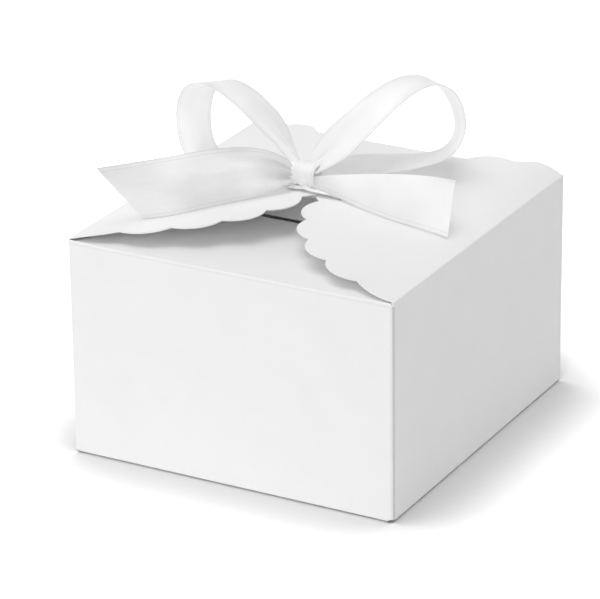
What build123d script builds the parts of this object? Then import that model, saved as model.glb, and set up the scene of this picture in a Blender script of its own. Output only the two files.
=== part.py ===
from build123d import *
import math
import os

# A favor box: one blank of white card, folded and glued, and one satin ribbon tied in a bow.
# The origin is the middle of the base on the table. +Z is up, the front wall faces -Y, and the two
# scalloped flaps fold in from the left (-X) and right (+X) walls. All sizes are in millimetres.

# The box, outside
box_width = 150.0
box_depth = 160.0
box_height = 96.0

# Card and its folds
card = 0.5
fold_inside_radius = 0.5
fold_corner_gap = 0.4  # keeps two folds apart where they meet at a corner of the box
flap_opening = 130.0  # how far a scalloped flap turns, in degrees

# Glued seam at the front right corner
seam_setback = 1.0  # the front wall's cut edge stops this far short of the right wall's face
seam_tab_width = 15.0
seam_tab_end_gap = 4.0
seam_tab_taper = 8.0

# Scalloped flaps
flap_rise = 6.0  # height of the right flap's arch above its fold
flap_apex_setback = 10.0  # the arch is level this far short of the middle of the box
tip_overlap = 1.2  # the left tip lies over the right tip by this much
tip_clearance = 0.3
scallop_count = 11
scallop_bulge = 4.8
corner_scallop_bulge = 2.2  # the scallop at each end of the fold is flatter
tip_scallop_width = 18.0
rim_centre_setback = 5.6  # the scallops stand on an arc centred this far outside the fold
rim_side_inset = 3.7
rim_shoulder_angle = 70.5  # the last scallop starts here, in degrees round that arc
ribbon_hole_setback = 12.0  # from the middle of the box
ribbon_hole_length = 10.0
ribbon_hole_width = 3.0

# Dust flaps
dust_fold_drop = 0.9  # their folds lie this far below the scalloped flaps' folds
dust_droop = 6.1  # slope below level, in degrees
dust_slit = 4.0  # gap between the two free edges
dust_base_inset = 0.6
dust_end_inset = 26.0
dust_corner_radius = 8.0

# Snap-lock base: the panels are mitred at the corners and climb to lie in three layers
base_climb = 9.0
base_mitre = 11.0
lug_reach = 40.0
lug_nose_inset = 34.0
slot_panel_overhang = 16.0  # how far the slotted panel reaches past the middle
slot_panel_nose_inset = 20.0
tongue_width = 56.0
tongue_overhang = 24.0
tongue_ramp_start = 10.0  # the tongue climbs from here to past the middle, up through the slot
tongue_ramp_end = 4.0
tongue_corner_radius = 8.0
tongue_shoulder_inset = 18.0
slot_clearance = 1.0

# Ribbon
ribbon_width = 25.0
ribbon_thickness = 0.4
gather_width = 4.5  # width of a loop's run where it goes into the knot
tail_gather_width = 3.0
knot_width = 8.0
knot_depth = 8.0
knot_height = 9.5
knot_corner_radius = 2.0
knot_shift = 8.0  # the knot sits this far left of the middle
knot_seat = 1.6  # gap between the left flap and the knot, filled by the strap
knot_gap = 0.3
strap_width = 8.0
strap_thickness = 0.6
strap_gap = 0.3
strap_bend = 0.8
strap_leg_spread = 4.0
strand_spread = 3.0  # height between two runs where they leave the knot
strand_lift = 1.0  # the middle of a loop's two runs leaves the knot this far above its centre
strand_back = 1.0  # the loops leave the knot this far behind its centre
tail_front = 3.0  # the tails leave the knot this far in front of its centre
loop_sections = 20
tail_sections = 10

# Each loop leaves the knot towards one handle and comes back from the other, as a Bezier curve does
left_loop_handles = ((-55.0, 10.0, 77.5), (-95.0, 10.0, -19.0))
right_loop_handles = ((49.0, 48.0, 84.0), (84.0, 69.0, -17.0))
left_loop_yaw = (7.0, -15.0, 2.0)  # the way the ribbon's width faces, from the start to the end
left_loop_tilt = (-9.0, -14.0, -15.0)
right_loop_yaw = (70.0, 32.0, 25.0)
right_loop_tilt = (10.0, -24.0, -9.0)
left_loop_gather = 34.0  # a run has its full width this far from the knot
right_loop_gather = 28.0

# Ends of the tails: the lower corner and the upper corner of each cut, above the box's top
left_tail_end = ((-52.6, -56.6, 4.6), (-72.9, -59.2, 24.0))
right_tail_end = ((67.0, -15.2, 3.0), (62.8, -0.2, 22.0))
left_tail_gather = 22.0
right_tail_gather = 66.0
left_tail_lean = 8.0  # a tail's top edge leans back by this much more at the knot than at its end
right_tail_lean = 0.0

# Worked out from the sizes above
half_width = box_width / 2
half_depth = box_depth / 2
fold_radius = fold_inside_radius + card
fold_line = fold_inside_radius + card / 2
seam_edge = half_width - seam_setback
knot_centre_rise = flap_rise + card + tip_clearance + knot_seat + knot_height / 2
knot_centre = Vector(-knot_shift, 0, box_height + knot_centre_rise)

wall_foot = fold_radius

ALONG = {"front": (1, 0, 0), "right": (0, 1, 0), "rear": (-1, 0, 0), "left": (0, -1, 0)}
INWARD = {"front": (0, 1, 0), "right": (-1, 0, 0), "rear": (0, -1, 0), "left": (1, 0, 0)}
SPAN = {"front": half_width, "right": half_depth, "rear": half_width, "left": half_depth}
REACH = {"front": half_depth, "right": half_width, "rear": half_depth, "left": half_width}
BASE_LAYER = {"front": 0.0, "left": card, "right": card, "rear": 2 * card}
TOP_LEVEL = {
    "left": box_height,
    "right": box_height,
    "front": box_height - dust_fold_drop,
    "rear": box_height - dust_fold_drop,
}
RISE = {"left": flap_rise + card + tip_clearance, "right": flap_rise}
APEX = half_width - fold_radius - flap_apex_setback
ARCH_RADIUS = {side: (APEX**2 + RISE[side] ** 2) / (2 * RISE[side]) for side in RISE}
SLOPE = {
    "left": math.degrees(math.asin(APEX / ARCH_RADIUS["left"])),
    "right": math.degrees(math.asin(APEX / ARCH_RADIUS["right"])),
    "front": -dust_droop,
    "rear": -dust_droop,
}


def hinge_relief(side):
    """Height left below a fold so that the flap's edge clears the wall when it is turned right back."""
    past_upright = max(0.0, flap_opening - (90 - SLOPE[side]))
    return fold_radius * math.sin(math.radians(past_upright)) + card / 4


def wall_head(side):
    return TOP_LEVEL[side] - fold_radius - hinge_relief(side)


def plan_plane(side, height=0.0):
    """Plan of one side: x runs along the wall, y runs in from the middle of the box."""
    return Plane(origin=(0, 0, height), x_dir=ALONG[side], z_dir=(0, 0, 1))


def fold_plane(side):
    """Section of one side: x runs inward through the middle of the box, y is up."""
    return Plane(origin=(0, 0, 0), x_dir=INWARD[side], z_dir=ALONG[side])


def fold_length(side):
    """Half the length of a fold along the top or bottom of a wall."""
    return SPAN[side] - fold_radius - fold_corner_gap


def keep(builder, name):
    """Label a finished piece and write it."""
    builder.part.label = name
    export_step(builder.part, f"parts/{name}.step")


os.makedirs("parts", exist_ok=True)

# Walls. Each has half of the rounded fold at its corners, so neighbours meet face to face.
with BuildPart() as front_wall:
    with BuildSketch(plan_plane("front", wall_foot)):
        with BuildLine():
            corner = (-half_width + fold_radius, -half_depth + fold_radius)
            CenterArc(corner, fold_line, 225, 45)
            Line((corner[0], -half_depth + card / 2), (seam_edge, -half_depth + card / 2))
        trace(line_width=card)
    extrude(amount=wall_head("front") - wall_foot)
keep(front_wall, "front_wall")

with BuildPart() as right_wall:
    with BuildSketch(plan_plane("right", wall_foot)):
        with BuildLine():
            seam_corner = (-half_depth + card + fold_radius, -half_width + fold_radius)
            rear_corner = (half_depth - fold_radius, -half_width + fold_radius)
            CenterArc(seam_corner, fold_line, 180, 90)
            Line((seam_corner[0], -half_width + card / 2), (rear_corner[0], -half_width + card / 2))
            CenterArc(rear_corner, fold_line, 270, 45)
        trace(line_width=card)
    extrude(amount=wall_head("right") - wall_foot)
keep(right_wall, "right_wall")

for side in ("rear", "left"):
    with BuildPart() as plain_wall:
        with BuildSketch(plan_plane(side, wall_foot)):
            with BuildLine():
                corner_x = SPAN[side] - fold_radius
                corner_y = -REACH[side] + fold_radius
                CenterArc((-corner_x, corner_y), fold_line, 225, 45)
                Line((-corner_x, corner_y - fold_line), (corner_x, corner_y - fold_line))
                CenterArc((corner_x, corner_y), fold_line, 270, 45)
            trace(line_width=card)
        extrude(amount=wall_head(side) - wall_foot)
    keep(plain_wall, f"{side}_wall")

# The glue tab runs on from the right wall's front fold, flat behind the front wall.
with BuildPart() as seam_tab:
    with BuildSketch(Plane.XZ.offset(half_depth - card)):
        tab_root = half_width - fold_radius
        tab_low = wall_foot + seam_tab_end_gap
        tab_high = wall_head("front") - seam_tab_end_gap
        Polygon(
            (tab_root, tab_low),
            (tab_root, tab_high),
            (tab_root - seam_tab_width, tab_high - seam_tab_taper),
            (tab_root - seam_tab_width, tab_low + seam_tab_taper),
        )
    extrude(amount=-card)
keep(seam_tab, "seam_tab")

def base_fold(side):
    """Section through a base panel's fold and its climb to its layer, and the point where it levels out."""
    fold_x = -REACH[side] + fold_radius
    layer_middle = BASE_LAYER[side] + card / 2
    CenterArc((fold_x, fold_radius), fold_line, 180, 90)
    Line((fold_x, card / 2), (fold_x + base_climb, layer_middle))
    return (fold_x + base_climb, layer_middle)


def mitred_base(side):
    """Outline of a base panel's two mitred corners, carried a little way out past its fold."""
    outer = fold_length(side)
    return (
        (-outer + base_mitre, -REACH[side] + base_mitre),
        (-outer, -REACH[side] - card),
        (outer, -REACH[side] - card),
        (outer - base_mitre, -REACH[side] + base_mitre),
    )


# Snap-lock base, outermost panel first: the tongue panel, the two lugs, then the slotted panel.
with BuildPart() as tongue_panel:
    over_slot_panel = BASE_LAYER["rear"] + card + card / 2 + tip_clearance / 2
    with BuildSketch(fold_plane("front")):
        with BuildLine():
            levels_out = base_fold("front")
            Polyline(
                levels_out,
                (-tongue_ramp_start, levels_out[1]),
                (tongue_ramp_end, over_slot_panel),
                (tongue_overhang + card, over_slot_panel),
            )
        trace(line_width=card)
    extrude(amount=fold_length("front"), both=True)
    with BuildSketch(plan_plane("front", -card)) as tongue_plan:
        panel_edge = -tongue_ramp_start - tongue_corner_radius
        shoulder = fold_length("front") - tongue_shoulder_inset
        Polygon(
            *mitred_base("front"),
            (shoulder, panel_edge),
            (tongue_width / 2, panel_edge),
            (tongue_width / 2, tongue_overhang),
            (-tongue_width / 2, tongue_overhang),
            (-tongue_width / 2, panel_edge),
            (-shoulder, panel_edge),
        )
        fillet(tongue_plan.vertices().group_by(Axis.Y)[-1], tongue_corner_radius)
    extrude(amount=box_height, mode=Mode.INTERSECT)
keep(tongue_panel, "bottom_tongue_panel")

for side in ("left", "right"):
    with BuildPart() as lug:
        with BuildSketch(fold_plane(side)):
            with BuildLine():
                levels_out = base_fold(side)
                Line(levels_out, (-half_width + lug_reach + card, levels_out[1]))
            trace(line_width=card)
        extrude(amount=fold_length(side), both=True)
        with BuildSketch(plan_plane(side, -card)):
            nose = fold_length(side) - lug_nose_inset
            Polygon(*mitred_base(side), (nose, -half_width + lug_reach), (-nose, -half_width + lug_reach))
        extrude(amount=box_height, mode=Mode.INTERSECT)
    keep(lug, f"bottom_{side}_lug")

with BuildPart() as slot_panel:
    with BuildSketch(fold_plane("rear")):
        with BuildLine():
            levels_out = base_fold("rear")
            Line(levels_out, (slot_panel_overhang + card, levels_out[1]))
        trace(line_width=card)
    extrude(amount=fold_length("rear"), both=True)
    with BuildSketch(plan_plane("rear", -card)):
        nose = fold_length("rear") - slot_panel_nose_inset
        Polygon(*mitred_base("rear"), (nose, slot_panel_overhang), (-nose, slot_panel_overhang))
        slot_length = tongue_ramp_start + tongue_ramp_end + 2 * slot_clearance
        with Locations((0, (tongue_ramp_start - tongue_ramp_end) / 2)):
            Rectangle(tongue_width + 2 * slot_clearance, slot_length, mode=Mode.SUBTRACT)
    extrude(amount=box_height, mode=Mode.INTERSECT)
keep(slot_panel, "bottom_slot_panel")

# Folds along the top, the live hinges that the flaps turn on.
for side in ("left", "right", "front", "rear"):
    with BuildPart() as top_fold:
        with BuildSketch(fold_plane(side)):
            with BuildLine():
                wall_middle = -REACH[side] + card / 2
                axis_height = TOP_LEVEL[side] - fold_radius
                Line((wall_middle, wall_head(side)), (wall_middle, axis_height))
                CenterArc((-REACH[side] + fold_radius, axis_height), fold_line, 180, SLOPE[side] - 90)
            trace(line_width=card)
        extrude(amount=fold_length(side), both=True)
    keep(top_fold, f"{side}_flap_crease")


def flap_root(side):
    """Middle of the card where a top fold ends and its flap starts, and the way the flap sets off."""
    turn = math.radians(90 + SLOPE[side])
    start = (
        -REACH[side] + fold_radius + fold_line * math.cos(turn),
        TOP_LEVEL[side] - fold_radius + fold_line * math.sin(turn),
    )
    slope = math.radians(SLOPE[side])
    return start, (math.cos(slope), math.sin(slope))


def scallop_cusps():
    """Points between scallops in plan, from one end of the fold round the tip to the other end."""
    tip_reach = tip_overlap / 2 - scallop_bulge
    rim_width = half_depth - rim_side_inset
    tip_angle = math.asin(tip_scallop_width / 2 / rim_width)
    rim_middle = -half_width - rim_centre_setback
    rim_reach = (tip_reach - rim_middle) / math.cos(tip_angle)
    between = (scallop_count - 3) // 2
    step = (math.radians(rim_shoulder_angle) - tip_angle) / between
    angles = [tip_angle + step * index for index in range(between + 1)]
    rim = [(rim_width * math.sin(turn), rim_middle + rim_reach * math.cos(turn)) for turn in angles]
    rim.append((fold_length("left"), -half_width))
    return [(-x, y) for x, y in reversed(rim)] + rim


# Scalloped flaps, arched over the box, each with a hole near its tip for the ribbon.
for side in ("left", "right"):
    with BuildPart() as scallop_flap:
        start, heading = flap_root(side)
        arch_radius = ARCH_RADIUS[side]
        past_apex = (tip_overlap - start[0]) / arch_radius - math.sin(math.radians(SLOPE[side]))
        with BuildSketch(fold_plane(side)):
            with BuildLine():
                JernArc(start, heading, arch_radius, -SLOPE[side] - math.degrees(math.asin(past_apex)))
            trace(line_width=card)
        extrude(amount=half_depth + scallop_bulge, both=True)
        with BuildSketch(plan_plane(side, box_height - fold_radius)):
            with BuildLine():
                cusps = scallop_cusps()
                bulges = [scallop_bulge] * scallop_count
                bulges[0] = bulges[-1] = corner_scallop_bulge
                for first, second, bulge in zip(cusps[:-1], cusps[1:], bulges):
                    SagittaArc(first, second, bulge)
                Line(cusps[-1], cusps[0])
            make_face()
            with Locations((0, -ribbon_hole_setback)):
                SlotOverall(ribbon_hole_length, ribbon_hole_width, mode=Mode.SUBTRACT)
        extrude(amount=box_height, mode=Mode.INTERSECT)
    keep(scallop_flap, f"{side}_scallop_flap")

# Dust flaps, folded in under the scalloped flaps and sagging towards the slit between them.
for side in ("front", "rear"):
    with BuildPart() as dust_flap:
        start, heading = flap_root(side)
        dust_run = (-dust_slit / 2 - start[0]) / heading[0]
        end = (start[0] + dust_run * heading[0], start[1] + dust_run * heading[1])
        with BuildSketch(fold_plane(side)):
            with BuildLine():
                Line(start, end)
            trace(line_width=card)
        extrude(amount=half_width, both=True)
        with BuildSketch(plan_plane(side)) as dust_plan:
            dust_base = fold_length(side) - dust_base_inset
            Polygon(
                (-dust_base, -half_depth),
                (dust_base, -half_depth),
                (dust_base - dust_end_inset, 0),
                (-dust_base + dust_end_inset, 0),
            )
            fillet(dust_plan.vertices().group_by(Axis.Y)[-1], dust_corner_radius)
        extrude(amount=2 * box_height, mode=Mode.INTERSECT)
    keep(dust_flap, f"{side}_dust_flap")

# The knot: the ribbon drawn tight round the loops.
with BuildPart() as bow_knot:
    with Locations(knot_centre):
        Box(knot_width, knot_depth, knot_height)
    fillet(bow_knot.edges(), knot_corner_radius)
keep(bow_knot, "bow_knot")

# The strap: from the knot down through the left hole, under both tips and up through the right hole.
with BuildPart() as ribbon_strap:
    over_left = box_height + RISE["left"] + strap_gap + strap_thickness / 2
    over_right = box_height + RISE["right"] + strap_gap + strap_thickness / 2
    under = box_height + RISE["right"] - card - strap_gap - strap_thickness / 2
    knot_base = knot_centre.Z - knot_height / 2
    with BuildSketch(Plane.XZ):
        with BuildLine():
            FilletPolyline(
                (-knot_shift - strap_leg_spread / 2, knot_base),
                (-ribbon_hole_setback, over_left),
                (-ribbon_hole_setback, under),
                (ribbon_hole_setback, under),
                (ribbon_hole_setback, over_right),
                (-knot_shift + strap_leg_spread / 2, knot_base),
                radius=strap_bend,
            )
        trace(line_width=strap_thickness)
    extrude(amount=strap_width / 2, both=True)
    with Locations(knot_centre):
        Box(knot_width, knot_depth, knot_height, mode=Mode.SUBTRACT)
keep(ribbon_strap, "ribbon_strap")


def ease(share):
    """Smooth step from 0 to 1."""
    share = min(1.0, max(0.0, share))
    return share * share * (3 - 2 * share)


def bend(values, share):
    """Smooth value that starts at the first of three values, is drawn to the second and ends at the third."""
    first, middle, last = values
    return first * (1 - share) ** 2 + 2 * middle * share * (1 - share) + last * share**2


def loop_section(sign, handles, yaws, tilts, share):
    """Plane across a loop's run, share of the way round, with x along the ribbon's width."""
    rest = 1 - share
    side_of_knot = sign * (knot_width / 2 - 1)
    leave = knot_centre + Vector(side_of_knot, strand_back, strand_lift + strand_spread / 2)
    back = knot_centre + Vector(side_of_knot, strand_back, strand_lift - strand_spread / 2)
    rise = knot_centre + Vector(handles[0])
    fall = knot_centre + Vector(handles[1])
    point = leave * rest**3 + rise * (3 * rest**2 * share) + fall * (3 * rest * share**2) + back * share**3
    heading = (rise - leave) * rest**2 + (fall - rise) * (2 * rest * share) + (back - fall) * share**2
    heading = heading.normalized()
    yaw = math.radians(bend(yaws, share))
    tilt = math.radians(bend(tilts, share))
    across = Vector(-math.sin(yaw) * math.cos(tilt), math.cos(yaw) * math.cos(tilt), math.sin(tilt))
    across = across - heading * across.dot(heading)
    return Plane(origin=point, x_dir=across, z_dir=heading)


def clear_knot():
    """Cut a run off just short of the knot."""
    with Locations(knot_centre):
        Box(
            knot_width + 2 * knot_gap,
            knot_depth + 2 * knot_gap,
            knot_height + 2 * knot_gap,
            mode=Mode.SUBTRACT,
        )


# Loops: each run leaves the side of the knot, swings up and out, and comes back below itself.
LOOPS = {
    "left": (left_loop_gather, (-1, left_loop_handles, left_loop_yaw, left_loop_tilt)),
    "right": (right_loop_gather, (1, right_loop_handles, right_loop_yaw, right_loop_tilt)),
}
for side, (gather, shape) in LOOPS.items():
    with BuildPart() as bow_loop:
        for index in range(loop_sections + 1):
            section = loop_section(*shape, index / loop_sections)
            opened = ease((section.origin - knot_centre).length / gather)
            with BuildSketch(section):
                Rectangle(gather_width + (ribbon_width - gather_width) * opened, ribbon_thickness)
        loft(ruled=True)
        clear_knot()
    keep(bow_loop, f"bow_{side}_loop")

# Tails: each leaves the knot gathered, opens to its full width and ends in a slanting cut.
TAILS = {
    "left": (-1, left_tail_gather, left_tail_lean, left_tail_end),
    "right": (1, right_tail_gather, right_tail_lean, right_tail_end),
}
for side, (sign, gather, lean, corners) in TAILS.items():
    with BuildPart() as bow_tail:
        low_end = Vector(0, 0, box_height) + Vector(corners[0])
        high_end = Vector(0, 0, box_height) + Vector(corners[1])
        root_drop = knot_height / 2 - knot_corner_radius / 4
        low_root = knot_centre + Vector(sign * (knot_width / 2 - 1), -tail_front, -root_drop)
        run = low_end - low_root
        onward = run.normalized()
        backward = Vector(-sign * run.Y, sign * run.X, 0).normalized()
        slant = (high_end - low_end).dot(onward)
        square_end = high_end - low_end - onward * slant
        for index in range(tail_sections + 1):
            share = index / tail_sections
            opened = min(1.0, share * run.length / gather)
            width = tail_gather_width + (square_end.length - tail_gather_width) * opened
            upward = (square_end + backward * (lean * (1 - share))).normalized()
            across = upward * width + onward * (slant * max(0.0, 2 * share - 1))
            middle = low_root + run * share + across * 0.5
            with BuildSketch(Plane(origin=middle, x_dir=across, z_dir=across.cross(onward.cross(upward)))):
                Rectangle(across.length, ribbon_thickness)
        loft(ruled=True)
        clear_knot()
    keep(bow_tail, f"bow_{side}_tail")
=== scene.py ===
import math

import bpy
import numpy as np
from mathutils import Matrix, Vector
from mathutils.geometry import delaunay_2d_cdt


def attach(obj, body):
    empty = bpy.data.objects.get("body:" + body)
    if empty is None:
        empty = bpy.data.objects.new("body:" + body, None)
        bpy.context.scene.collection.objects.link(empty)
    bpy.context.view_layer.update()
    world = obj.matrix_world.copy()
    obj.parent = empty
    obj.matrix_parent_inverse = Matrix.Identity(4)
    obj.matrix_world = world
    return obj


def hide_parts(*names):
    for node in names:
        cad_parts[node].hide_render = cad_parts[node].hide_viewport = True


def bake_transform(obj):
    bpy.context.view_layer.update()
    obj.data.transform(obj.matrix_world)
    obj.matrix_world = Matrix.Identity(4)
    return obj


# A favor box of white card, tied with a white satin ribbon.
# Lengths are in millimetres up to the floor, and in metres where a comment says so.
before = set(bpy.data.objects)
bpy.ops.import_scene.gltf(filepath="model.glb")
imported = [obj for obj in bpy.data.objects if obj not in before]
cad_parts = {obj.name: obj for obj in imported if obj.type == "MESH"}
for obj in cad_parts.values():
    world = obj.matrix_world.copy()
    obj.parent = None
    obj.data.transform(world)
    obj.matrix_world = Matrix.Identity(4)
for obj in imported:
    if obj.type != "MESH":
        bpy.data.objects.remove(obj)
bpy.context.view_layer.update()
MM = 0.001

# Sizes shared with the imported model
CARD = 0.5
BOX_TOP = 96.0
HALF_WIDTH = 75.0
HALF_DEPTH = 80.0
FOLD_RADIUS = 1.0
FOLD_LINE = 0.75
FOLD_GAP = 0.4
FLAP_OPENING = 130.0
DUST_DROP = 0.9
DUST_DROOP = 6.1
ARCH_REACH = 64.0
ARCH_RISE = {"left": 6.8, "right": 6.0}
RIBBON_WIDTH = 25.0
RIBBON_THICKNESS = 0.3
SIDES = {"left": -1, "right": 1}


def ease(share):
    """Smooth step from 0 to 1."""
    share = np.clip(share, 0.0, 1.0)
    return share * share * (3 - 2 * share)


def unit(vectors):
    """Vectors scaled to length 1, one or many."""
    vectors = np.asarray(vectors, float)
    return vectors / np.linalg.norm(vectors, axis=-1, keepdims=True)


def bezier(points, share):
    """Points along a Bezier curve, for shares of the way from its first point to its last."""
    points = np.asarray(points, float)
    last = len(points) - 1
    share = np.asarray(share, float).reshape(-1, 1)
    weights = [math.comb(last, k) * share**k * (1 - share) ** (last - k) for k in range(last + 1)]
    return np.concatenate(weights, axis=1) @ points


def between(pair, share):
    """Values that go from a pair's first number to its second."""
    return pair[0] + (pair[1] - pair[0]) * share


# Materials


class Nodes:
    """Short calls for building one material's nodes."""

    def __init__(self, name):
        self.material = bpy.data.materials.new(name)
        self.material.use_nodes = True
        self.tree = self.material.node_tree
        self.shader = self.tree.nodes["Principled BSDF"]

    def feed(self, socket, value):
        """Links a socket to another one, or gives it a value."""
        if isinstance(value, bpy.types.NodeSocket):
            self.tree.links.new(value, socket)
        else:
            socket.default_value = value

    def add(self, kind, inputs=None, **settings):
        node = self.tree.nodes.new(kind)
        for key, value in settings.items():
            setattr(node, key, value)
        for key, value in (inputs or {}).items():
            self.feed(node.inputs[key], value)
        return node

    def math(self, operation, first, second=0.0, third=0.0):
        node = self.add("ShaderNodeMath", {0: first, 1: second, 2: third}, operation=operation)
        return node.outputs[0]

    def blended(self, first, second, share):
        """The first value by its share, with the second value making up the rest."""
        return self.math("MULTIPLY_ADD", first, share, self.math("MULTIPLY", second, 1 - share))

    def noise(self, place, scale, detail=3.0, roughness=0.55):
        inputs = {"Vector": place, "Scale": scale, "Detail": detail, "Roughness": roughness}
        return self.add("ShaderNodeTexNoise", inputs).outputs["Fac"]

    def stretched(self, place, scale):
        return self.add("ShaderNodeMapping", {"Vector": place, "Scale": scale}).outputs["Vector"]

    def ramp(self, value, stops):
        node = self.add("ShaderNodeValToRGB", {"Fac": value})
        elements = node.color_ramp.elements
        while len(elements) < len(stops):
            elements.new(0.5)
        for element, (position, grey) in zip(elements, stops):
            element.position = position
            element.color = (grey, grey, grey, 1)
        return node.outputs["Color"]

    def darkened(self, colour, shade, share=1.0):
        """A colour multiplied by a shade, where share is 1."""
        inputs = {0: share, 6: colour, 7: shade}
        return self.add("ShaderNodeMix", inputs, data_type="RGBA", blend_type="MULTIPLY").outputs[2]

    def set(self, **inputs):
        for key, value in inputs.items():
            self.feed(self.shader.inputs[key.replace("_", " ")], value)

    def show(self, surface):
        """Makes a shader the one that the material shows."""
        self.feed(self.tree.nodes["Material Output"].inputs[0], surface)


# Depth of the finest relief, in metres
BUMP_DEPTH = 0.0001
# Card: sizes of the noise per metre, the share of fibres in it, and the noise's darkest and lightest levels
CLOUDS = 55.0
FIBRES = 1400.0
FIBRE_STRETCH = (1.0, 1.0, 0.35)
FIBRE_SHARE = 0.45
CARD_LEVELS = (0.25, 0.75)
CARD_RELIEF = 0.12
CARD_ROUGHNESS = 0.5
CARD_ROUGHNESS_SPREAD = 0.16
# Painted shade in the groove beside the front wall's cut edge: its breadth, and how dark the card's colour is
# painted across that breadth
SEAM_BAND = 2.6
SEAM_SHADE_LEVELS = ((0.0, 0.7), (0.4, 0.72), (1.0, 1.0))
# Ribbon: stretch of each noise along and across it per millimetre, and how they are mixed; the broadest is
# painted sheen, lighter and darker patches in the colour
THREADS = (0.1, 2.4, 1.0)
SLUBS = (1.7, 0.22, 1.0)
PAINTED_SHEEN = (0.035, 0.06, 1.0)
RIB_STEP = 0.55
THREAD_SHARE = 0.55
WEAVE_SHARE = 0.4
SATIN_LEVELS = (0.36, 0.64)
SLUB_RELIEF = 0.7
EDGE_RELIEF = 0.8
RIB_RELIEF = 0.25
SATIN_ROUGHNESS = 0.62
SATIN_ROUGHNESS_SPREAD = 0.2
FACE_WEAVE = 0.22
FACE_GLOSS = 0.3
BACK_WEAVE = 0.42
BACK_GLOSS = 0.15
SATIN_SHEERNESS = 0.5
GATHERED_SHEERNESS = 0.1
# The woven line near the ribbon's edge and the edge itself, from the middle at 0 to the edge at 1
SELVEDGE = ((0.0, 1.0), (0.83, 1.0), (0.855, 0.9), (0.88, 1.0), (0.945, 1.0), (0.985, 0.88))


def card_material(name, tones):
    """White coated card: faint clouding of the pulp, fine fibres and a soft, uneven sheen."""
    nodes = Nodes(name)
    place = nodes.add("ShaderNodeTexCoord").outputs["Object"]
    clouds = nodes.noise(place, CLOUDS, detail=4.0)
    fibres = nodes.noise(nodes.stretched(place, FIBRE_STRETCH), FIBRES, detail=2.0)
    pulp = nodes.blended(fibres, clouds, FIBRE_SHARE)
    tone = nodes.ramp(pulp, tuple(zip(CARD_LEVELS, tones)))
    # Painted shade: the right wall's colour is darkened in a narrow band beside the front wall's cut edge,
    # below the top fold
    parts = nodes.add("ShaderNodeSeparateXYZ", {"Vector": place})
    from_corner = nodes.math(
        "MULTIPLY_ADD",
        parts.outputs["Y"],
        1 / (SEAM_BAND * MM),
        HALF_DEPTH / SEAM_BAND,
    )
    seam_shade = nodes.ramp(from_corner, SEAM_SHADE_LEVELS)
    on_wall = nodes.math("GREATER_THAN", parts.outputs["X"], (HALF_WIDTH - CARD) * MM)
    below_fold = nodes.math("LESS_THAN", parts.outputs["Z"], (BOX_TOP - 2 * FOLD_RADIUS) * MM)
    seam_shade_mask = nodes.math("MULTIPLY", on_wall, below_fold)
    bump = nodes.add("ShaderNodeBump", {"Height": pulp, "Strength": CARD_RELIEF, "Distance": BUMP_DEPTH})
    nodes.set(
        Base_Color=nodes.darkened(tone, seam_shade, seam_shade_mask),
        Roughness=nodes.math("MULTIPLY_ADD", fibres, CARD_ROUGHNESS_SPREAD, CARD_ROUGHNESS),
        Normal=bump.outputs["Normal"],
        Specular_IOR_Level=0.3,
    )
    return nodes.material


def satin_material(name, tones, weave_depth, gloss, sheerness):
    """White satin ribbon: fine lengthwise threads, cross ribs, a woven selvedge line, a sheen and painted
    sheen patches.
    """
    nodes = Nodes(name)
    place = nodes.add("ShaderNodeUVMap", uv_map="ribbon").outputs["UV"]
    parts = nodes.add("ShaderNodeSeparateXYZ", {"Vector": place})
    threads = nodes.noise(nodes.stretched(place, THREADS), 1.0)
    slubs = nodes.noise(nodes.stretched(place, SLUBS), 1.0)
    # Painted sheen: broad lighter and darker patches in the ribbon's colour, mixed in with the weave
    painted_sheen = nodes.noise(nodes.stretched(place, PAINTED_SHEEN), 1.0, detail=1.0)
    ribs = nodes.math("SINE", nodes.math("MULTIPLY", parts.outputs["X"], 2 * math.pi / RIB_STEP))
    weave = nodes.blended(threads, slubs, THREAD_SHARE)
    tone = nodes.ramp(nodes.blended(weave, painted_sheen, WEAVE_SHARE), tuple(zip(SATIN_LEVELS, tones)))
    from_middle = nodes.math("MULTIPLY", nodes.math("ABSOLUTE", parts.outputs["Y"]), 2.0 / RIBBON_WIDTH)
    line = nodes.ramp(from_middle, SELVEDGE)
    colour = nodes.darkened(tone, line)
    woven = nodes.math("MULTIPLY_ADD", slubs, SLUB_RELIEF, threads)
    edged = nodes.math("MULTIPLY_ADD", line, EDGE_RELIEF, woven)
    relief = nodes.math("MULTIPLY_ADD", ribs, RIB_RELIEF, edged)
    bump = nodes.add("ShaderNodeBump", {"Height": relief, "Strength": weave_depth, "Distance": BUMP_DEPTH})
    normal = bump.outputs["Normal"]
    nodes.set(
        Base_Color=colour,
        Roughness=nodes.math("MULTIPLY_ADD", weave, SATIN_ROUGHNESS_SPREAD, SATIN_ROUGHNESS - gloss),
        Normal=normal,
        Specular_IOR_Level=0.35,
        Sheen_Weight=0.2,
        Sheen_Roughness=0.4,
    )
    through = nodes.add("ShaderNodeBsdfTranslucent", {"Color": colour, "Normal": normal}).outputs[0]
    both = nodes.add("ShaderNodeMixShader", {0: sheerness, 1: nodes.shader.outputs[0], 2: through})
    nodes.show(both.outputs[0])
    return nodes.material


white_card = card_material("white_card", (0.886, 0.925))
# Painted shade: a greyer copy of the card for the front and rear folds, which dims the bright line where they
# catch the light
fold_shade_card = card_material("fold_shade_card", (0.855, 0.895))
satin_face = satin_material("satin_face", (0.91, 0.975), FACE_WEAVE, FACE_GLOSS, SATIN_SHEERNESS)
# The satin's duller reverse for the left tail: less gloss and deeper weave, with a greyer tone that is
# painted shade
satin_back_shaded = satin_material("satin_back_shaded", (0.85, 0.96), BACK_WEAVE, BACK_GLOSS, SATIN_SHEERNESS)
satin_gathered = satin_material(
    "satin_gathered",
    (0.95, 0.99),
    FACE_WEAVE,
    FACE_GLOSS,
    GATHERED_SHEERNESS,
)

# Meshes

SHARP_EDGE = math.radians(50)


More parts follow.
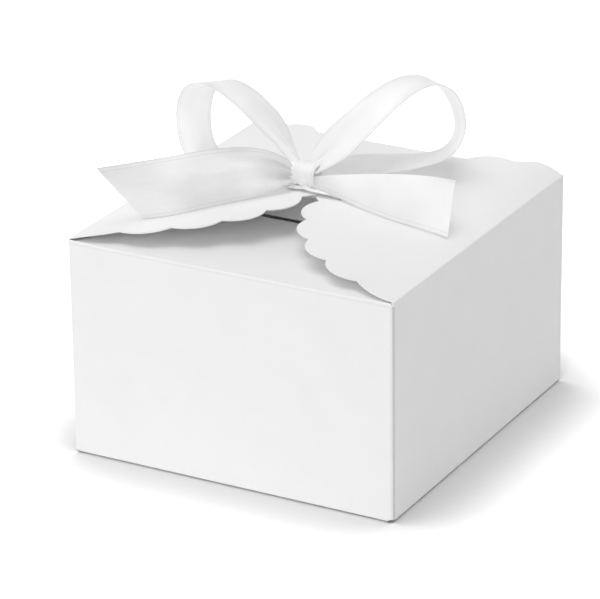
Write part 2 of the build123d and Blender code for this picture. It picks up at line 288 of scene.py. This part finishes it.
def make_piece(name, points, faces, material, nodes):
    """A mesh object that stands for CAD nodes, smooth except at its cut edges."""
    mesh = bpy.data.meshes.new(name)
    mesh.from_pydata((np.asarray(points) * MM).tolist(), [], faces)
    mesh.shade_smooth()
    mesh.set_sharp_from_angle(angle=SHARP_EDGE)
    mesh.materials.append(material)
    piece = bpy.data.objects.new(name, mesh)
    bpy.context.scene.collection.objects.link(piece)
    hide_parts(*nodes)
    return piece


def thick_grid(grid, thickness):
    """Points and faces of a thin closed sheet whose middle lies on a grid of points."""
    rows, columns = grid.shape[:2]
    normals = unit(np.cross(np.gradient(grid, axis=0), np.gradient(grid, axis=1)))
    points = np.concatenate([(grid + normals * (side * thickness / 2)).reshape(-1, 3) for side in (1, -1)])
    index = np.arange(2 * rows * columns).reshape(2, rows, columns)
    faces = []
    for row in range(rows - 1):
        for column in range(columns - 1):
            quad = [(row, column), (row + 1, column), (row + 1, column + 1), (row, column + 1)]
            faces.append([int(index[0][place]) for place in quad])
            faces.append([int(index[1][place]) for place in reversed(quad)])
    ring = [(row, 0) for row in range(rows)]
    ring += [(rows - 1, column) for column in range(1, columns)]
    ring += [(row, columns - 1) for row in range(rows - 2, -1, -1)]
    ring += [(0, column) for column in range(columns - 2, 0, -1)]
    for here, after in zip(ring, ring[1:] + ring[:1]):
        faces.append([int(index[0][after]), int(index[0][here]), int(index[1][here]), int(index[1][after])])
    return points, faces


def ribbon_piece(name, grid, nodes, material, across=None, along_shift=0.0):
    """A run of satin on a grid of points: rows go along the ribbon and columns across it."""
    points, faces = thick_grid(grid, RIBBON_THICKNESS)
    piece = make_piece(name, points, faces, material, nodes)
    columns = grid.shape[1]
    middle = grid[:, columns // 2]
    steps = np.linalg.norm(np.diff(middle, axis=0), axis=1)
    along = np.concatenate([[0.0], np.cumsum(steps)]) + along_shift
    if across is None:
        across = np.linspace(-RIBBON_WIDTH / 2, RIBBON_WIDTH / 2, columns)
    flat = np.stack(np.broadcast_arrays(along[:, None], across), -1).reshape(-1, 2)
    place = np.concatenate([flat, flat])
    layer = piece.data.uv_layers.new(name="ribbon")
    corners = np.empty(len(piece.data.loops), np.int32)
    piece.data.loops.foreach_get("vertex_index", corners)
    layer.data.foreach_set("uv", place[corners].astype(np.float32).ravel())
    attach(piece, "left_flap")
    return piece


# Card: the scored folds along the top, from the walls onto the flaps

REACH = {"left": HALF_WIDTH, "right": HALF_WIDTH, "front": HALF_DEPTH, "rear": HALF_DEPTH}
SPAN = {"left": HALF_DEPTH, "right": HALF_DEPTH, "front": HALF_WIDTH, "rear": HALF_WIDTH}
INWARD = {"left": (1, 0), "right": (-1, 0), "front": (0, 1), "rear": (0, -1)}
ALONG = {"left": (0, -1), "right": (0, 1), "front": (1, 0), "rear": (-1, 0)}
ARCH_RADIUS = {side: (ARCH_REACH**2 + rise**2) / (2 * rise) for side, rise in ARCH_RISE.items()}
SLOPE = {side: math.asin(ARCH_REACH / ARCH_RADIUS[side]) for side in ARCH_RISE}
SLOPE["front"] = SLOPE["rear"] = -math.radians(DUST_DROOP)
BODY = {"left": "left_flap", "right": "right_flap", "front": "front_dust_flap", "rear": "rear_dust_flap"}
FOLD_AXIS = {side: BOX_TOP - FOLD_RADIUS - (0.0 if side in SIDES else DUST_DROP) for side in REACH}
# The bend of a fold, and how it goes round the corners of the box
FOLD_STEPS = 13
FOLD_STATIONS = 25
FOLD_SHARPNESS = 0.2
WRAP_TURNS = np.radians((0.0, 15.0, 30.0, 45.0))
WRAP_STEP = 0.02
SIDE_UNWRAP = 0.3
CORNER_LIFT = 0.4
CORNER_RUN = 14.0


def from_plan(side, along, inward, height):
    """Points from one side's own plan: along the fold, inward from the middle of the box, and up."""
    along, inward, height = np.broadcast_arrays(along, inward, height)
    x = along * ALONG[side][0] + inward * INWARD[side][0]
    y = along * ALONG[side][1] + inward * INWARD[side][1]
    return np.stack([x, y, height], -1)


def flap_root(side):
    """Middle of the card where a fold ends and its flap starts, as inward and height."""
    turn = math.pi / 2 + SLOPE[side]
    return (
        -REACH[side] + FOLD_RADIUS + FOLD_LINE * math.cos(turn),
        FOLD_AXIS[side] + FOLD_LINE * math.sin(turn),
    )


def crease(side):
    """A scored fold: a short upright strip that goes round the corners of the box, then a turn onto the flap.

    Each row of it has its place inward, its height, and how far it goes round the corners, from 0 to 1.
    """
    past_upright = max(0.0, math.radians(FLAP_OPENING) - (math.pi / 2 - SLOPE[side]))
    foot = FOLD_AXIS[side] - FOLD_RADIUS * math.sin(past_upright) - CARD / 4
    wall = -REACH[side] + CARD / 2
    unwrap, corner_lift = (SIDE_UNWRAP, 0.0) if side in SIDES else (1.0, CORNER_LIFT)
    line = [(wall, foot, 1.0), (wall, (foot + FOLD_AXIS[side]) / 2, 1.0)]
    for share in np.linspace(0, 1, FOLD_STEPS):
        turn = math.pi - (math.pi / 2 - SLOPE[side]) * share
        bend = FOLD_LINE + FOLD_SHARPNESS * math.sin(math.pi * share) ** 2
        inward = -REACH[side] + FOLD_RADIUS + bend * math.cos(turn)
        line.append((inward, FOLD_AXIS[side] + bend * math.sin(turn), 1 - unwrap * float(ease(share))))
    ends = SPAN[side] - FOLD_RADIUS - FOLD_GAP
    straight = np.linspace(-ends, ends, FOLD_STATIONS)
    reach = FOLD_GAP + FOLD_LINE * np.sin(WRAP_TURNS)
    dip = FOLD_LINE * (1 - np.cos(WRAP_TURNS))
    spare = WRAP_STEP * np.arange(1, len(WRAP_TURNS) + 1)
    rows = []
    for inward, height, wrapped in line:
        past = spare + reach * wrapped
        stations = np.concatenate([-(ends + past)[::-1], straight, ends + past])
        sunk = np.concatenate([dip[::-1], 0 * straight, dip]) * wrapped
        near_corner = ease((np.abs(stations) - ends) / CORNER_RUN + 1)
        raised = corner_lift * 4 * wrapped * (1 - wrapped) * near_corner
        rows.append(from_plan(side, stations, inward + sunk, height + raised))
    points, faces = thick_grid(np.stack(rows), CARD)
    # The front and rear folds take the greyer card, painted shade that dims their lit edge
    material = white_card if side in SIDES else fold_shade_card
    piece = make_piece(f"{side}_fold", points, faces, material, [f"{side}_flap_crease"])
    start = from_plan(side, 0.0, wall, foot) * MM
    end = from_plan(side, 0.0, *flap_root(side)) * MM
    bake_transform(piece)
    return piece


# Card: the scalloped flaps

SCALLOPS = 11
SCALLOP_BULGE = 4.8
CORNER_BULGE = 2.2
TIP_WIDTH = 18.0
TIP_OVERLAP = 1.2
SQUARE_CORNER = -63.5
CORNER_ROUND = 2.0
RIM_SETBACK = 5.6
RIM_INSET = 3.7
RIM_SHOULDER = 70.5
HOLE_SETBACK = 12.0
HOLE_LENGTH = 10.0
HOLE_WIDTH = 3.0
CORNER_CLEARANCE = 0.3
# Steps along each scallop, the square corner, half of the hole and the fold, and the spacing inside them
ARC_STEPS = 14
CORNER_STEPS = 6
HOLE_STEPS = 9
FOLD_EDGE_STEPS = 40
FLAP_GRID = 4.0
PLAN_MERGE = 1e-6
# One end of each flap is bowed up beside its fold
WARP_RISE = {"left": 0.8, "right": 2.2}
WARP_CREST = 12.0
WARP_START = 15.0


def scallop_cusps(side):
    """Points between the scallops in plan, from one end of the fold round the tip to the other."""
    rim_width = HALF_DEPTH - RIM_INSET
    tip_angle = math.asin(TIP_WIDTH / 2 / rim_width)
    rim_middle = -HALF_WIDTH - RIM_SETBACK
    rim_reach = (TIP_OVERLAP / 2 - SCALLOP_BULGE - rim_middle) / math.cos(tip_angle)
    turns = np.linspace(tip_angle, math.radians(RIM_SHOULDER), (SCALLOPS - 1) // 2)
    rim = [(rim_width * math.sin(turn), rim_middle + rim_reach * math.cos(turn)) for turn in turns]
    rim.append((HALF_DEPTH - FOLD_RADIUS - FOLD_GAP, flap_root(side)[0]))
    return [(-along, inward) for along, inward in reversed(rim)] + rim


def sagitta_arc(first, second, bulge, count):
    """Points along an arc from first up to second, without second, that stands out by bulge."""
    first, second = np.array(first), np.array(second)
    chord = np.linalg.norm(second - first)
    radius = (chord**2 / 4 + bulge**2) / (2 * bulge)
    forward = (second - first) / chord
    outward = np.array((-forward[1], forward[0]))
    middle = (first + second) / 2 + outward * (bulge - radius)
    half_turn = math.asin(chord / 2 / radius)
    turns = np.linspace(-half_turn, half_turn, count, endpoint=False)
    arc = [middle + radius * (forward * math.sin(turn) + outward * math.cos(turn)) for turn in turns]
    return [tuple(point) for point in arc]


def square_corner(cusp, fold_end):
    """Points from the last cusp out to the edge of the box and along it towards the fold's end."""
    corner = np.array((fold_end[0] - CORNER_CLEARANCE, SQUARE_CORNER))
    legs = [unit(np.array(cusp) - corner), unit(np.array(fold_end) - corner)]
    near, far = (corner + CORNER_ROUND * leg for leg in legs)
    curve = bezier((near, corner, far), np.linspace(0, 1, CORNER_STEPS))
    straight = [far + (np.array(fold_end) - far) * share for share in (0.25, 0.5, 0.75)]
    return [tuple(point) for point in (np.array(cusp), *curve, *straight)]


def inside(outline, point):
    """True where a point lies within a closed outline."""
    crossings = 0
    for (x1, y1), (x2, y2) in zip(outline, outline[1:] + outline[:1]):
        if (y1 > point[1]) != (y2 > point[1]):
            crossings += point[0] < x1 + (x2 - x1) * (point[1] - y1) / (y2 - y1)
    return crossings % 2 == 1


def flap_warp(side, along, inward):
    """Height that the card stands above its even arch."""
    from_fold = np.maximum(0.0, inward - flap_root(side)[0]) / WARP_CREST
    bowed = WARP_RISE[side] * from_fold * np.exp(1 - from_fold)
    return bowed * ease((along - WARP_START) / (HALF_DEPTH - WARP_START))


def flap_outline(side):
    """A flap's outline in plan: scallops round its free edge, one square corner, and the fold."""
    cusps = scallop_cusps(side)
    bulges = [CORNER_BULGE] + [SCALLOP_BULGE] * (SCALLOPS - 2) + [CORNER_BULGE]
    outline = []
    for first, second, bulge in zip(cusps[:-1], cusps[1:], bulges):
        outline += sagitta_arc(first, second, bulge, ARC_STEPS)
    square = square_corner(cusps[-2], cusps[-1])
    if side == "right":
        outline = outline[:-ARC_STEPS] + square
    else:
        mirrored = [(-along, inward) for along, inward in reversed(square[1:])]
        outline = [cusps[0]] + mirrored + outline[ARC_STEPS:]
    fold = np.linspace(cusps[-1][0], cusps[0][0], FOLD_EDGE_STEPS, endpoint=False)
    return outline + [(along, cusps[-1][1]) for along in fold]


def flap_hole():
    """Outline in plan of the hole near a flap's tip that the ribbon goes through."""
    hole = []
    for sign in (1, -1):
        for turn in np.linspace(-math.pi / 2, math.pi / 2, HOLE_STEPS):
            hole.append((
                sign * (HOLE_LENGTH / 2 - HOLE_WIDTH / 2 + HOLE_WIDTH / 2 * math.cos(turn)),
                -HOLE_SETBACK + sign * HOLE_WIDTH / 2 * math.sin(turn),
            ))
    return hole


def flap_plan(outline, hole):
    """Points and triangles that fill an outline in plan, apart from its hole."""
    filling = []
    for along in np.arange(-HALF_DEPTH, HALF_DEPTH + 1, FLAP_GRID):
        for inward in np.arange(-HALF_WIDTH + FLAP_GRID / 2, FLAP_GRID, FLAP_GRID):
            spot = (along, inward)
            clear = min(math.hypot(along - x, inward - y) for x, y in outline + hole)
            if clear > FLAP_GRID / 2 and inside(outline, spot) and not inside(hole, spot):
                filling.append(spot)
    rings = []
    start = 0
    for ring in (outline, hole):
        rings += [(start + i, start + (i + 1) % len(ring)) for i in range(len(ring))]
        start += len(ring)
    plan = [Vector(point) for point in outline + hole + filling]
    found, _, triangles, *_ = delaunay_2d_cdt(plan, rings, [], 1, PLAN_MERGE)
    found = np.array([tuple(point) for point in found])
    return found, [t for t in triangles if not inside(hole, tuple(found[list(t)].mean(0)))]


def scalloped_flap(side):
    """A flap of card with a scalloped edge and a hole for the ribbon, arched over the box."""
    found, triangles = flap_plan(flap_outline(side), flap_hole())
    along, inward = found.T
    root, root_height = flap_root(side)
    radius = ARCH_RADIUS[side]
    centre = (root + radius * math.sin(SLOPE[side]), root_height - radius * math.cos(SLOPE[side]))
    arch = centre[1] + np.sqrt(radius**2 - (inward - centre[0]) ** 2)
    middle = from_plan(side, along, inward, arch + flap_warp(side, along, inward))
    slant = (inward - centre[0]) / radius
    lean = unit(from_plan(side, 0.0, slant, np.sqrt(1 - slant**2)))
    points = np.concatenate([middle + lean * CARD / 2, middle - lean * CARD / 2])
    count = len(found)
    faces = []
    edges = {}
    for a, b, c in triangles:
        faces.append([a, b, c])
        faces.append([c + count, b + count, a + count])
        for edge in ((a, b), (b, c), (c, a)):
            edges[edge] = True
    for a, b in edges:
        if (b, a) not in edges:
            faces.append([b, a, a + count, b + count])
    piece = make_piece(f"{side}_flap_card", points, faces, white_card, [f"{side}_scallop_flap"])
    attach(piece, BODY[side])
    return piece


for side in REACH:
    crease(side)
for side in SIDES:
    scalloped_flap(side)
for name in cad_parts:
    node = bpy.data.objects.get(name)
    if node and node.type == "MESH":
        node.data.materials.clear()
        node.data.materials.append(white_card)

# Ribbon

# The knot's middle, its size, and how far its band stands to the right of that middle
KNOT = np.array((-8.0, 0.0, 109.15))
KNOT_SIZE = np.array((12.0, 8.8, 9.8))
KNOT_SHIFT = 0.6
# Each loop's curve as handles from the knot, the turn of its breadth in degrees, how far from the knot it
# is drawn in and to what width, on its way out and back, and how far its edge is turned up
LOOPS = {
    "left": {
        "handles": ((-29.3, 7.0, 42.4), (-79.8, 11.3, 41.2), (-45.6, 16.9, 21.3), (-78.9, -6.6, -23.2)),
        "yaw": (4.6, -6.1, -13.9, -4.8, 7.5),
        "tilt": (-16.6, -9.2, -15.1, -17.4, 4.6),
        "gather": (30.9, 30.0),
        "drawn": (4.8, 6.0),
        "turned": 0.9,
    },
    "right": {
        "handles": ((41.6, 34.5, 45.7), (37.0, 61.6, 68.8), (62.3, 53.5, -30.1), (54.9, 56.8, 6.9)),
        "yaw": (53.9, 51.2, 35.6, 28.9, 41.1),
        "tilt": (7.4, -6.3, -23.7, -22.6, 9.5),
        "gather": (22.0, 16.0),
        "drawn": (11.0, 7.0),
        "turned": 0.0,
    },
}
# Each tail's lower and upper edge, from the knot to the cut
TAILS = {
    "left": {
        "low": (
            (-11.0, -3.2, 105.0),
            (-13.9, -19.5, 100.9),
            (-31.9, -31.3, 105.1),
            (-35.1, -49.5, 101.4),
            (-52.6, -56.6, 100.6),
        ),
        "high": (
            (-11.5, -3.0, 112.6),
            (-17.5, -11.5, 126.4),
            (-31.0, -27.5, 129.9),
            (-43.5, -42.1, 122.9),
            (-54.1, -55.1, 125.8),
            (-66.5, -69.6, 124.8),
        ),
        "folded": 0.0,
        "camber": 0.8,
    },
    "right": {
        "low": (
            (-5.0, -3.2, 105.0),
            (12.8, -1.8, 103.3),
            (29.5, -17.4, 101.1),
            (48.7, -12.4, 101.0),
            (66.0, -13.5, 98.2),
        ),
        "high": (
            (-5.0, -3.0, 108.6),
            (11.5, -2.3, 113.3),
            (28.8, -1.6, 115.4),
            (45.5, -0.9, 119.0),
            (62.8, -0.2, 118.0),
        ),
        "folded": 0.9,
        "camber": 0.5,
    },
}
LOOP_ROWS = 121
TAIL_ROWS = 81
KNOT_ROWS = 65
STRAP_STEPS = 12
COLUMNS = 33
TUCK_COLUMNS = 14
# Pleats where the ribbon is drawn in: a wave across it and a smaller one beside it
PLEAT_DEPTH = 1.1
PLEAT_FALL = 1.5
SECOND_PLEAT = 0.4
SECOND_STEP = 1.3
LOOP_PLEATS = 2.5
LOOP_PLEAT_SHIFT = (0.6, 2.6)
TAIL_PLEATS = 3.5
TAIL_PLEAT_SHIFT = 0.4
# Where a loop leaves the knot and comes back to it, and the stretches over which it turns back and unrolls
LOOP_START = (3.0, 1.0, 2.5)
LOOP_END = (3.0, 1.0, -0.5)
RETURN_START = 0.3
RETURN_RUN = 0.4
TURNED_END = 0.12
TURNED_RUN = 0.24
# A tail's swell, the layer folded behind it, and the folds that fan out from the knot
CAMBER_GROWTH = 3
TUCK_LEAST = 0.05
TUCK_GAP = 0.9
TUCK_TURN = 6
FAN_DEPTH = 2.8
FAN_START = 5.0
FAN_REACH = 19.0
FAN_WAVES = 5.26
FAN_SHIFT = 0.84
# The knot's band: how square it is, its lengthwise creases, its rounded edges and its flare
KNOT_SQUARENESS = 0.7
KNOT_CREASE = 0.055
KNOT_CREASES = 2.6
KNOT_CREASE_SWAY = 0.8
KNOT_CREASE_SHIFT = 0.5
KNOT_CROWN = 0.2
KNOT_FLARE = 0.05
# The strap's run in x and z, and its breadth: drawn in to pass the holes, wider where it lies on the flaps
STRAP_CORNERS = (
    (-5.0, 104.4),
    (-12.5, 103.7),
    (-13.4, 103.2),
    (-12.0, 102.4),
    (-12.0, 100.9),
    (12.0, 100.9),
    (12.0, 102.7),
    (9.0, 103.7),
    (-3.0, 103.9),
    (-6.0, 104.9),
)
STRAP_HALF = 4.2
STRAP_SPREAD = 1.4
STRAP_SPREAD_HEIGHT = 102.6
STRAP_SPREAD_RUN = 0.9
STRAP_CREASE = 0.35
STRAP_CREASES = 3.6
# Places along the cloth where each run starts, so that no two runs show the same stretch of weave; they also
# set where the painted sheen's patches fall
TAIL_CLOTH = 300.0
KNOT_CLOTH = 500.0
STRAP_CLOTH = 600.0


def pleat(across, closed, count, shift):
    """Waves across the ribbon where it is drawn in; closed is 1 at the knot and 0 where it lies open."""
    first = np.cos(math.pi * count * across + shift)
    second = np.cos(math.pi * (count + SECOND_STEP) * across + 2 * shift)
    return PLEAT_DEPTH * closed**PLEAT_FALL * (first + SECOND_PLEAT * second)


def loop_grid(side):
    """Points of a loop: it leaves the side of the knot, swings up and out, and comes back below itself."""
    shape = LOOPS[side]
    share = np.linspace(0, 1, LOOP_ROWS)[:, None]
    leave, back = (np.array(end) * (SIDES[side], 1, 1) for end in (LOOP_START, LOOP_END))
    middle = KNOT + bezier((leave, *shape["handles"], back), share)
    heading = unit(np.gradient(middle, axis=0))
    yaw, tilt = (np.radians(bezier(np.reshape(shape[key], (-1, 1)), share)) for key in ("yaw", "tilt"))
    across = np.concatenate([-np.sin(yaw) * np.cos(tilt), np.cos(yaw) * np.cos(tilt), np.sin(tilt)], axis=1)
    across = unit(across - heading * (across * heading).sum(1, keepdims=True))
    facing = np.cross(heading, across)
    returning = ease((share - RETURN_START) / RETURN_RUN)
    gather = between(shape["gather"], returning)
    drawn = between(shape["drawn"], returning)
    opened = ease(np.linalg.norm(middle - KNOT, axis=1, keepdims=True) / gather)
    width = drawn + (RIBBON_WIDTH - drawn) * opened
    place = np.linspace(-1, 1, COLUMNS)[None, :]
    lift = pleat(place, 1 - opened, LOOP_PLEATS, between(LOOP_PLEAT_SHIFT, share))
    rolled = 1 - ease((share - TURNED_END) / TURNED_RUN)
    lift = lift + shape["turned"] * ease(-2 * place - 1) * rolled
    half = width[:, :, None] * place[:, :, None] / 2
    return middle[:, None] + across[:, None] * half + facing[:, None] * lift[:, :, None]


def tail_grid(side):
    """Points of a tail between its two edges, and each point's place across the flat ribbon.

    Cloth that the tail's breadth has no room for lies folded behind its upper edge, or in pleats.
    """
    shape = TAILS[side]
    share = np.linspace(0, 1, TAIL_ROWS)
    low = bezier(shape["low"], share)
    high = bezier(shape["high"], share)
    breadth = high - low
    width = np.linalg.norm(breadth, axis=1, keepdims=True)
    forward = unit(np.gradient((low + high) / 2, axis=0))
    facing = unit(np.cross(forward, breadth)) * SIDES[side]
    place = np.linspace(0, 1, COLUMNS)[None, :] + 0 * width
    lift = shape["camber"] * 4 * place * (1 - place) * ease(share * CAMBER_GROWTH)[:, None]
    if shape["folded"]:
        hidden = np.clip(RIBBON_WIDTH - width, TUCK_LEAST, width * shape["folded"])
        behind = np.linspace(0, 1, TUCK_COLUMNS + 1)[None, 1:]
        shown = -RIBBON_WIDTH / 2 + place * width
        across = np.concatenate([shown, shown[:, -1:] + behind * hidden], axis=1)
        place = np.concatenate([place, 1 - behind * hidden / width], axis=1)
        lift = np.concatenate([lift, -TUCK_GAP * ease(behind * TUCK_TURN) + 0 * width], axis=1)
    else:
        across = RIBBON_WIDTH * (place - 0.5)
        closed = 1 - ease(width / RIBBON_WIDTH)
        reach = share[:, None] * np.linalg.norm(low[-1] - low[0])
        fan = FAN_DEPTH * ease(reach / FAN_START) * np.exp(-reach / FAN_REACH)
        lift = lift + pleat(2 * place - 1, closed, TAIL_PLEATS, TAIL_PLEAT_SHIFT)
        lift = lift + fan * np.cos(math.pi * (FAN_WAVES * place + FAN_SHIFT))
    grid = low[:, None] + breadth[:, None] * place[:, :, None] + facing[:, None] * lift[:, :, None]
    return grid, across


def knot_grid():
    """Points of the band drawn round the middle of the bow, with creases along it."""
    turns = np.linspace(0, 2 * math.pi, KNOT_ROWS)[:, None]
    place = np.linspace(-1, 1, COLUMNS)[None, :]
    round_y, round_z = (
        np.sign(wave) * np.abs(wave) ** KNOT_SQUARENESS for wave in (np.cos(turns), np.sin(turns))
    )
    sway = KNOT_CREASE_SWAY * np.sin(turns) + KNOT_CREASE_SHIFT
    creases = KNOT_CREASE * np.cos(KNOT_CREASES * math.pi * place + sway)
    crown = 1 - KNOT_CROWN + KNOT_CROWN * np.sqrt(1 - place**4) + creases * (1 - place**4)
    x = KNOT[0] + KNOT_SHIFT + KNOT_SIZE[0] / 2 * place * (1 + KNOT_FLARE * np.sin(turns))
    y = KNOT[1] + KNOT_SIZE[1] / 2 * round_y * crown
    z = KNOT[2] + KNOT_SIZE[2] / 2 * round_z * crown
    return np.stack([x, y, z], -1)


def strap_grid():
    """Points of the run that goes down through one hole, under both tips and up through the other."""
    corners = np.array(STRAP_CORNERS)
    shares = np.linspace(0, 1, STRAP_STEPS, endpoint=False)[:, None]
    runs = [first + (second - first) * shares for first, second in zip(corners[:-1], corners[1:])]
    line = np.concatenate([*runs, corners[-1:]])
    place = np.linspace(-1, 1, COLUMNS)
    half = STRAP_HALF + STRAP_SPREAD * ease((line[:, 1:] - STRAP_SPREAD_HEIGHT) / STRAP_SPREAD_RUN)
    creased = line[:, :, None] + STRAP_CREASE * np.cos(STRAP_CREASES * math.pi * place)
    return np.stack([creased[:, 0], half * place, creased[:, 1]], -1)


for side in SIDES:
    loop = loop_grid(side)
    piece = ribbon_piece(f"{side}_loop", loop, [f"bow_{side}_loop"], satin_face)
    tail, across = tail_grid(side)
    # The left tail shows the duller reverse, whose greyer tone is painted shade
    satin = satin_back_shaded if side == "left" else satin_face
    piece = ribbon_piece(f"{side}_tail", tail, [f"bow_{side}_tail"], satin, across, TAIL_CLOTH)

band = ribbon_piece("knot_band", knot_grid(), ["bow_knot"], satin_gathered, along_shift=KNOT_CLOTH)
run = strap_grid()
strap = ribbon_piece("strap_run", run, ["ribbon_strap"], satin_gathered, along_shift=STRAP_CLOTH)

# Floor, light and camera, in metres apart from the floor's drop and the camera's place


def white_to_the_eye(tree, lit, seen):
    """Shows one shader to the camera, gloss and glass, and the other to everything else."""
    path = tree.nodes.new("ShaderNodeLightPath")
    total = path.outputs["Is Camera Ray"]
    for name in ("Is Glossy Ray", "Is Transmission Ray"):
        either = tree.nodes.new("ShaderNodeMath")
        either.operation = "MAXIMUM"
        tree.links.new(total, either.inputs[0])
        tree.links.new(path.outputs[name], either.inputs[1])
        total = either.outputs[0]
    mix = tree.nodes.new("ShaderNodeMixShader")
    tree.links.new(total, mix.inputs[0])
    tree.links.new(lit, mix.inputs[1])
    tree.links.new(seen, mix.inputs[2])
    return mix.outputs[0]


FLOOR_HALF = 4.0
FLOOR_DROP = 0.6
FLOOR_WHITE = 0.92
# To the eye the paper's colour is darkened as painted shade where the box stands over it, and is lifted to
# white away from the box
FLOOR_SHADE = 0.54
FLOOR_LIFT = 0.53
SHADE_REACH = 0.05
LIFT_START = 0.6
LIFT_RISE = 1.6
SKY = 0.37
# Soft lamps far away: name, the side they stand on and their height in degrees, strength, spread in degrees
LAMPS = (
    ("overhead", 250, 80, 1.22, 50),
    ("front", 290, 24, 0.66, 30),
    ("left", 180, 20, 0.52, 60),
)
# A soft box near the front left
SOFT_BOX_PLACE = Vector((-0.5, -0.5, 0.3))
SOFT_BOX_AIM = Vector((0.0, 0.0, 0.06))
SOFT_BOX_SIZE = 0.4
SOFT_BOX_POWER = 0.4

floor_mesh = bpy.data.meshes.new("floor")
floor_signs = ((-1, -1), (1, -1), (1, 1), (-1, 1))
floor_corners = [(x * FLOOR_HALF, y * FLOOR_HALF, -FLOOR_DROP * MM) for x, y in floor_signs]
floor_mesh.from_pydata(floor_corners, [], [(0, 1, 2, 3)])
floor = bpy.data.objects.new("floor", floor_mesh)
bpy.context.scene.collection.objects.link(floor)
paper = Nodes("floor_paper")
paper.set(Base_Color=(FLOOR_WHITE, FLOOR_WHITE, FLOOR_WHITE, 1), Roughness=0.9, Specular_IOR_Level=0.0)
openness = paper.add("ShaderNodeAmbientOcclusion", {"Distance": SHADE_REACH}).outputs["AO"]
shade = paper.ramp(openness, ((0.0, FLOOR_SHADE), (1.0, FLOOR_WHITE)))
shaded = paper.add("ShaderNodeBsdfDiffuse", {"Color": shade})
clear = paper.add("ShaderNodeMapRange", {"Value": openness, "From Min": LIFT_START}).outputs["Result"]
lift = paper.math("MULTIPLY", paper.math("POWER", clear, LIFT_RISE), FLOOR_LIFT)
glow = paper.add("ShaderNodeEmission", {"Strength": lift})
lifted = paper.add("ShaderNodeAddShader", {0: shaded.outputs[0], 1: glow.outputs[0]})
paper.show(white_to_the_eye(paper.tree, paper.shader.outputs[0], lifted.outputs[0]))
floor_mesh.materials.append(paper.material)

world = bpy.data.worlds.new("studio")
world.use_nodes = True
bpy.context.scene.world = world
sky_tree = world.node_tree
sky = sky_tree.nodes["Background"]
sky.inputs["Color"].default_value = (1, 1, 1, 1)
sky.inputs["Strength"].default_value = SKY
backdrop = sky_tree.nodes.new("ShaderNodeBackground")
backdrop.inputs["Strength"].default_value = 1.0
backdrop.inputs["Color"].default_value = (1, 1, 1, 1)
sky_tree.links.new(
    white_to_the_eye(sky_tree, sky.outputs[0], backdrop.outputs[0]),
    sky_tree.nodes["World Output"].inputs[0],
)


def lamp(kind, name, strength, place, aim):
    """A lamp that stands at a place and faces another."""
    data = bpy.data.lights.new(name, kind)
    data.energy = strength
    holder = bpy.data.objects.new(name, data)
    holder.location = place
    holder.rotation_euler = (place - aim).to_track_quat("Z", "Y").to_euler()
    bpy.context.scene.collection.objects.link(holder)
    return data


for name, azimuth, elevation, strength, spread in LAMPS:
    around, above = math.radians(azimuth), math.radians(elevation)
    level = math.cos(above)
    place = Vector((math.cos(around) * level, math.sin(around) * level, math.sin(above)))
    lamp("SUN", name, strength, place, Vector()).angle = math.radians(spread)
lamp("AREA", "front_left", SOFT_BOX_POWER, SOFT_BOX_PLACE, SOFT_BOX_AIM).size = SOFT_BOX_SIZE

CAMERA_AZIMUTH = math.radians(28.845)
CAMERA_ELEVATION = math.radians(22.832)
CAMERA_ROLL = math.radians(-0.699)
CAMERA_EYE = Vector((693.1, -1277.5, 665.3)) * MM
CAMERA_LENS = 223.64
CAMERA_SENSOR = 36.0
back = Vector((
    math.sin(CAMERA_AZIMUTH) * math.cos(CAMERA_ELEVATION),
    -math.cos(CAMERA_AZIMUTH) * math.cos(CAMERA_ELEVATION),
    math.sin(CAMERA_ELEVATION),
))
level = Vector((math.cos(CAMERA_AZIMUTH), math.sin(CAMERA_AZIMUTH), 0))
upright = back.cross(level)
right = level * math.cos(CAMERA_ROLL) + upright * math.sin(CAMERA_ROLL)
up = upright * math.cos(CAMERA_ROLL) - level * math.sin(CAMERA_ROLL)
camera_data = bpy.data.cameras.new("camera")
camera_data.sensor_width = CAMERA_SENSOR
camera_data.sensor_fit = "HORIZONTAL"
camera_data.lens = CAMERA_LENS
camera = bpy.data.objects.new("camera", camera_data)
turn = Matrix((right, up, back)).transposed().to_4x4()
camera.matrix_world = Matrix.Translation(CAMERA_EYE) @ turn
bpy.context.scene.collection.objects.link(camera)
bpy.context.scene.camera = camera
bpy.context.scene.view_settings.view_transform = "Standard"
# White walls hand light on many times
bpy.context.scene.cycles.max_bounces = 16
bpy.context.scene.cycles.diffuse_bounces = 12
